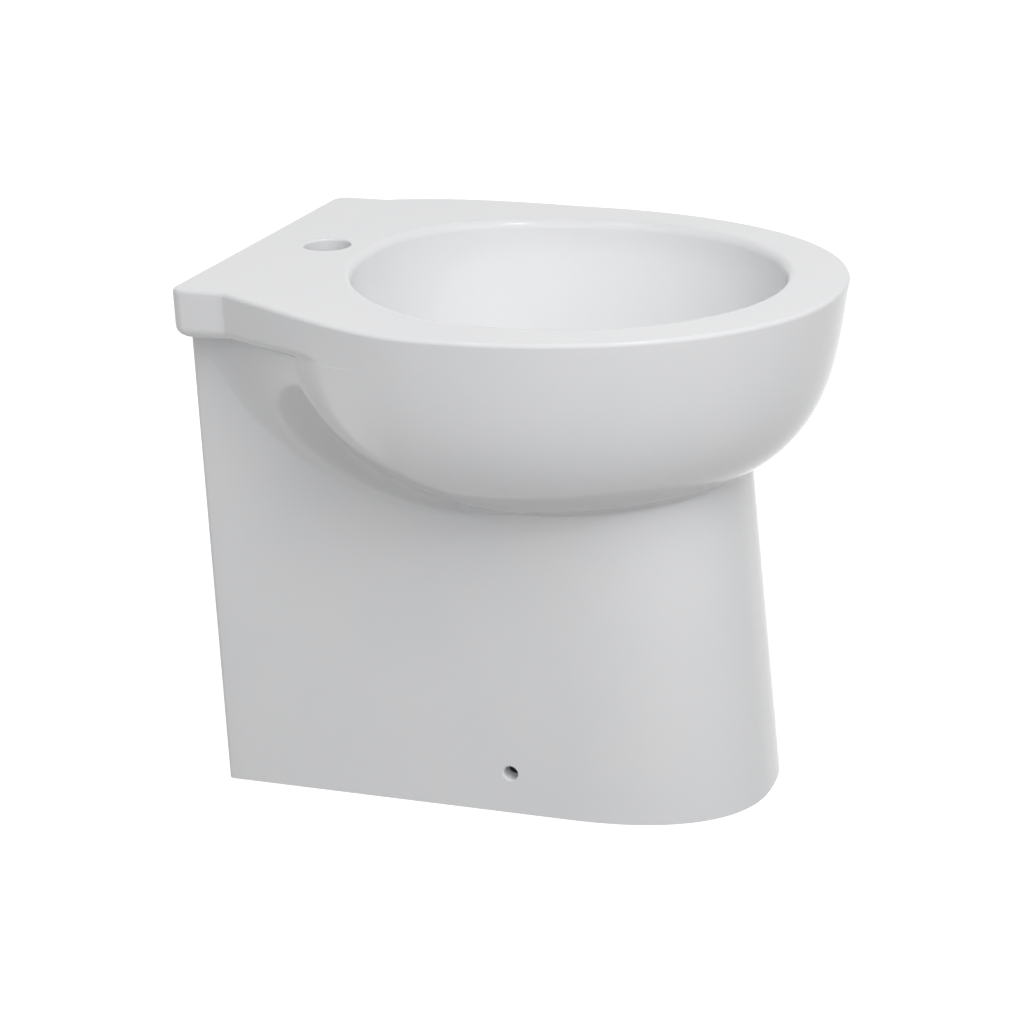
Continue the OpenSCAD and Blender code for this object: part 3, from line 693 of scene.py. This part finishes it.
# Polished chrome plate: a bright cool mirror, with the faint unevenness that buffing leaves.
chrome, tree = new_material("polished chrome plate")
where = add(tree, "ShaderNodeTexCoord")
buff = add(tree, "ShaderNodeTexNoise", {"Scale": 350.0, "Detail": 3.0},
           Vector=where.outputs["Object"])
shine = add(tree, "ShaderNodeMapRange", {"To Min": 0.04, "To Max": 0.11},
            Value=buff.outputs["Fac"])
face = add(tree, "ShaderNodeBump", {"Strength": 0.04, "Distance": 0.0001},
           Height=buff.outputs["Fac"])
plate = add(tree, "ShaderNodeBsdfPrincipled", {"Base Color": linear("#DCDEE0"), "Metallic": 1.0},
            Roughness=shine.outputs["Result"], Normal=face.outputs["Normal"])
add(tree, "ShaderNodeOutputMaterial", Surface=plate.outputs[0])
waste.data.materials.clear()
waste.data.materials.append(chrome)
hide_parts("waste_body")
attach(waste, "pan")


# The tapered washer, the slip washer and the back nut clamp the waste from below: soft rubber
# against the china, a thin slippery ring that lets the nut turn, and a turned hexagon nut.
dress("cone_washer", rubber, 0.0005)

# White polypropylene: injection moulded and slightly waxy, with a fine spark-eroded grain that
# breaks up the shine, and a little light passing into the edges.
plastic, tree = new_material("white moulded polypropylene")
where = add(tree, "ShaderNodeTexCoord")
grain = add(tree, "ShaderNodeTexNoise", {"Scale": 2600.0, "Detail": 2.0},
            Vector=where.outputs["Object"])
flow = add(tree, "ShaderNodeTexNoise", {"Scale": 25.0, "Detail": 1.0},
           Vector=where.outputs["Object"])
tone = add(tree, "ShaderNodeValToRGB", Fac=flow.outputs["Fac"])
tone.color_ramp.elements[0].color = linear("#E3E4E2")
tone.color_ramp.elements[1].color = linear("#ECECEA")
waxy = add(tree, "ShaderNodeMapRange", {"To Min": 0.30, "To Max": 0.44},
           Value=grain.outputs["Fac"])
skin = add(tree, "ShaderNodeBump", {"Strength": 0.15, "Distance": 0.00005},
           Height=grain.outputs["Fac"])
resin = add(tree, "ShaderNodeBsdfPrincipled",
            {"IOR": 1.49, "Subsurface Weight": 0.12, "Subsurface Scale": 0.002},
            Base_Color=tone.outputs["Color"], Roughness=waxy.outputs["Result"],
            Normal=skin.outputs["Normal"])
add(tree, "ShaderNodeOutputMaterial", Surface=resin.outputs[0])
dress("slip_washer", plastic, 0.0003)

# Turned brass: warm yellow metal, with the fine rings of the lathe in its shine and tone.
brass, tree = new_material("turned brass")
where = add(tree, "ShaderNodeTexCoord")
lathe = add(tree, "ShaderNodeTexWave", {"wave_type": "BANDS", "bands_direction": "Z",
                                        "Scale": 900.0, "Distortion": 1.5, "Detail": 2.0},
            Vector=where.outputs["Object"])
haze = add(tree, "ShaderNodeTexNoise", {"Scale": 90.0, "Detail": 3.0},
           Vector=where.outputs["Object"])
tone = add(tree, "ShaderNodeValToRGB", Fac=haze.outputs["Fac"])
tone.color_ramp.elements[0].color = linear("#B8934F")
tone.color_ramp.elements[1].color = linear("#D0AC66")
shine = add(tree, "ShaderNodeMapRange", {"To Min": 0.22, "To Max": 0.36},
            Value=lathe.outputs["Fac"])
lathe_rings = add(tree, "ShaderNodeBump", {"Strength": 0.1, "Distance": 0.00003},
                  Height=lathe.outputs["Fac"])
metal = add(tree, "ShaderNodeBsdfPrincipled", {"Metallic": 1.0}, Base_Color=tone.outputs["Color"],
            Roughness=shine.outputs["Result"], Normal=lathe_rings.outputs["Normal"])
add(tree, "ShaderNodeOutputMaterial", Surface=metal.outputs[0])
dress("back_nut", brass, 0.0008)


# The click cartridge: a small acetal barrel with a collar, screwed into the waste's hub. It
# guides the plug's stem, and holds the plug up or down.
acetal, tree = new_material("natural white acetal")
where = add(tree, "ShaderNodeTexCoord")
grain = add(tree, "ShaderNodeTexNoise", {"Scale": 1500.0, "Detail": 2.0},
            Vector=where.outputs["Object"])
slick = add(tree, "ShaderNodeMapRange", {"To Min": 0.20, "To Max": 0.32},
            Value=grain.outputs["Fac"])
tone = add(tree, "ShaderNodeValToRGB", Fac=grain.outputs["Fac"])
tone.color_ramp.elements[0].color = linear("#E8E7DF")
tone.color_ramp.elements[1].color = linear("#F0EFE8")
resin = add(tree, "ShaderNodeBsdfPrincipled",
            {"IOR": 1.48, "Subsurface Weight": 0.1, "Subsurface Scale": 0.001},
            Base_Color=tone.outputs["Color"], Roughness=slick.outputs["Result"])
add(tree, "ShaderNodeOutputMaterial", Surface=resin.outputs[0])
dress("click_cartridge", acetal, 0.0004)


# The plug: a domed cap pressed from brass and chrome-plated, a rubber ring under it that lands
# on the flange, and a turned stem that slides in the cartridge.
cap_low = 0.2520
cap_r = 0.0260
dome_h = 0.0045
dome = [(cap_r * math.cos(t), cap_low + 0.0010 + dome_h * math.sin(t))
        for t in np.linspace(0, math.pi / 2, 28)[:-1]]
cap = turned("plug_cap_dome", (0, drain_y, 0), [
    (0, cap_low), (cap_r - 0.0008, cap_low), (cap_r - 0.0002, cap_low + 0.0003)] + dome
    + [(0, cap_low + 0.0055)])
select_only(cap)
bpy.ops.object.shade_smooth_by_angle(angle=math.radians(40))
cap.data.materials.clear()
cap.data.materials.append(chrome)
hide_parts("plug_cap")
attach(cap, "plug")
dress("plug_seal", rubber, 0.0003)
dress("plug_stem", brass, 0.0004)


# The joint under the waste: a ribbed union nut moulded in polypropylene draws the dip tube's
# flanged end up against a rubber washer. The open end of the tube stands in the trap's water.
dress("trap_nut", plastic, 0.0007)
dress("trap_washer", rubber, 0.0003)
dress("dip_tube", plastic, 0.0003)


# The bottle trap: a moulded bottle with a neck and a side outlet, sealed to the dip tube by a
# second nut and washer. Its cup screws off below, against a flat seal, to clean it.
dress("neck_nut", plastic, 0.0007)
dress("neck_washer", rubber, 0.0003)
dress("trap_bottle", plastic, 0.0008)
dress("trap_cup", plastic, 0.0008)
dress("cup_seal", rubber, 0.0003)


# The outlet: a plain polypropylene pipe to the wall, held in the bottle's socket by a third
# ribbed nut and its washer.
dress("outlet_nut", plastic, 0.0007)
dress("outlet_washer", rubber, 0.0003)
dress("outlet_pipe", plastic, 0.0004)


# The floor brackets: two ribbed angles moulded in charcoal nylon, screwed to the floor inside
# the foot. A screw from outside goes through the china's side hole into each upright.
# Their charcoal tone is partly the nylon's own colour and partly painted shade: it is kept dark so
# that the fixing holes read as dark as the shaded hollow behind them.
dark_nylon_and_hole_shade, tree = new_material("charcoal glass-filled nylon and painted hole shade")
where = add(tree, "ShaderNodeTexCoord")
fibre = add(tree, "ShaderNodeTexNoise", {"Scale": 700.0, "Detail": 4.0, "Roughness": 0.7},
            Vector=where.outputs["Object"])
tone = add(tree, "ShaderNodeValToRGB", Fac=fibre.outputs["Fac"])
tone.color_ramp.elements[0].position = 0.35
tone.color_ramp.elements[0].color = linear("#27282A")
tone.color_ramp.elements[1].position = 0.75
tone.color_ramp.elements[1].color = linear("#424345")
rough = add(tree, "ShaderNodeMapRange", {"To Min": 0.48, "To Max": 0.66},
            Value=fibre.outputs["Fac"])
skin = add(tree, "ShaderNodeBump", {"Strength": 0.25, "Distance": 0.0001},
           Height=fibre.outputs["Fac"])
resin = add(tree, "ShaderNodeBsdfPrincipled", {"IOR": 1.53}, Base_Color=tone.outputs["Color"],
            Roughness=rough.outputs["Result"], Normal=skin.outputs["Normal"])
add(tree, "ShaderNodeOutputMaterial", Surface=resin.outputs[0])
dress("bracket_left", dark_nylon_and_hole_shade, 0.0008)
dress("bracket_right", dark_nylon_and_hole_shade, 0.0008)
